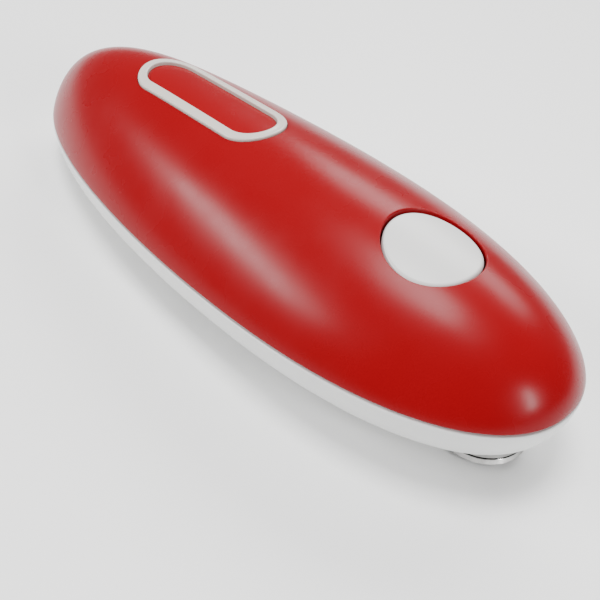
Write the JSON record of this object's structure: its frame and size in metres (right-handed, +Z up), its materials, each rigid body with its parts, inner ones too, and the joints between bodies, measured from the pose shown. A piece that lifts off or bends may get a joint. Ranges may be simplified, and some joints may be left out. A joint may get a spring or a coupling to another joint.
{
  "type": "electric can opener",
  "caption": "Battery can opener with a rounded two-part casing, push button, powered serrated wheel and a swinging round cutter under the nose.",
  "frame": {"origin": "centre of the resting opener's box, on the table it stands on", "axes": "+X towards the cutting head, +Y to the left, +Z up; the opener rests nose up by about 3 degrees on its cutter and tail"},
  "size_m": [0.1898, 0.072, 0.0441],
  "materials": {
    "red_plastic": "satin gloss moulded shell",
    "white_plastic": "satin moulded shell",
    "grey_trim": "satin warm grey trim",
    "grey_button": "satin light grey",
    "black_plastic": "moulded",
    "cell_wrap": "plain wrapped dry cell",
    "plated_steel": "zinc plated",
    "gear_plate": "glass filled nylon",
    "white_gear": "acetal",
    "steel_gear": "sintered steel",
    "hardened_steel": "hardened and oiled",
    "brass": "turned",
    "chrome": "polished",
    "magnet": "sintered ferrite",
    "rotor_steel": "laminated stack",
    "board_green": "solder mask",
    "lead_red": "insulated wire",
    "lead_black": "insulated wire"
  },
  "bodies": {
    "casing": {"upper_shell": "red_plastic", "lower_shell": "white_plastic", "ring_trim": "grey_trim", "inlay_panel": "red_plastic", "casing_screws": "plated_steel", "battery_tray": "black_plastic", "battery_cells": "cell_wrap", "battery_springs": "plated_steel", "battery_contacts": "plated_steel", "lower_gear_plate": "gear_plate", "upper_gear_plate": "gear_plate", "gear_pins": "plated_steel", "gearbox_screws": "plated_steel", "spindle_bush": "brass", "carrier_bush": "brass", "head_plate": "plated_steel", "head_plate_screws": "plated_steel", "magnet_holder": "white_plastic", "lid_magnet": "magnet", "motor_can": "plated_steel", "motor_end_cap": "black_plastic", "motor_magnets": "magnet", "motor_terminals": "brass", "motor_bracket": "black_plastic", "circuit_board": "board_green", "board_screws": "plated_steel", "board_components": "black_plastic", "switch_body": "black_plastic", "button_spring": "plated_steel", "motor_leads": "lead_red", "battery_leads": "lead_black"},
    "drive": {"drive_gear": "steel_gear", "drive_spindle": "hardened_steel", "spindle_clip": "plated_steel", "drive_wheel": "hardened_steel", "drive_wheel_screw": "plated_steel"},
    "first_cluster": {"cluster_gear_1": "white_gear"},
    "second_cluster": {"cluster_gear_2": "white_gear"},
    "rotor": {"motor_rotor": "rotor_steel", "motor_pinion": "brass"},
    "swing": {"swing_gear": "steel_gear"},
    "carrier": {"cutter_carrier": "chrome", "carrier_clip": "plated_steel", "wave_washer": "plated_steel", "cutter_screw": "plated_steel"},
    "cutter": {"cutter_wheel": "chrome"},
    "button": {"power_button": "grey_button"},
    "plunger": {"switch_plunger": "grey_trim"},
    "door": {"battery_door": "white_plastic"}
  },
  "joints": [
    {"name": "drive_spin", "type": "hinge", "parent": "casing", "child": "drive", "pos_m": [0.05507, 0, -0.00066], "axis": [-0.0534, 0, 0.9986], "continuous": true},
    {"name": "second_cluster_spin", "type": "hinge", "parent": "casing", "child": "second_cluster", "pos_m": [0.04208, 0.01301, -0.00136], "axis": [-0.0534, 0, 0.9986], "continuous": true},
    {"name": "first_cluster_spin", "type": "hinge", "parent": "casing", "child": "first_cluster", "pos_m": [0.03315, -0.00259, -0.00184], "axis": [-0.0534, 0, 0.9986], "continuous": true},
    {"name": "motor_spin", "type": "hinge", "parent": "casing", "child": "rotor", "pos_m": [0.01713, 0, -0.0027], "axis": [-0.0534, 0, 0.9986], "continuous": true},
    {"name": "swing_gear_spin", "type": "hinge", "parent": "casing", "child": "swing", "pos_m": [0.07504, 0, 0.0004], "axis": [-0.0534, 0, 0.9986], "continuous": true},
    {"name": "cutter_swing", "type": "hinge", "parent": "casing", "child": "carrier", "pos_m": [0.07504, 0, 0.0004], "axis": [-0.0534, 0, 0.9986], "range_deg": [0, 180]},
    {"name": "cutter_spin", "type": "hinge", "parent": "carrier", "child": "cutter", "pos_m": [0.07729, 0, 0.00052], "axis": [-0.0534, 0, 0.9986], "continuous": true},
    {"name": "button_press", "type": "slide", "parent": "casing", "child": "button", "axis": [0.0534, 0, -0.9986], "range_m": [0, 0.0015], "stiffness_N_per_m": 900, "springref_m": -0.0008, "deforming": ["button_spring"]},
    {"name": "plunger_slide", "type": "slide", "parent": "casing", "child": "plunger", "axis": [0.0534, 0, -0.9986], "range_m": [0, 0.0015]},
    {"name": "door_hinge", "type": "hinge", "parent": "casing", "child": "door", "pos_m": [-0.00458, 0, 0.00526], "axis": [0, -1, 0], "range_deg": [0, 80]}
  ],
  "couplings": [
    {"joint": "second_cluster_spin", "follows": "drive_spin", "ratio": -3.6},
    {"joint": "first_cluster_spin", "follows": "drive_spin", "ratio": 18},
    {"joint": "motor_spin", "follows": "drive_spin", "ratio": -99},
    {"joint": "swing_gear_spin", "follows": "drive_spin", "ratio": -2.5714},
    {"joint": "plunger_slide", "follows": "button_press", "ratio": 1}
  ]
}
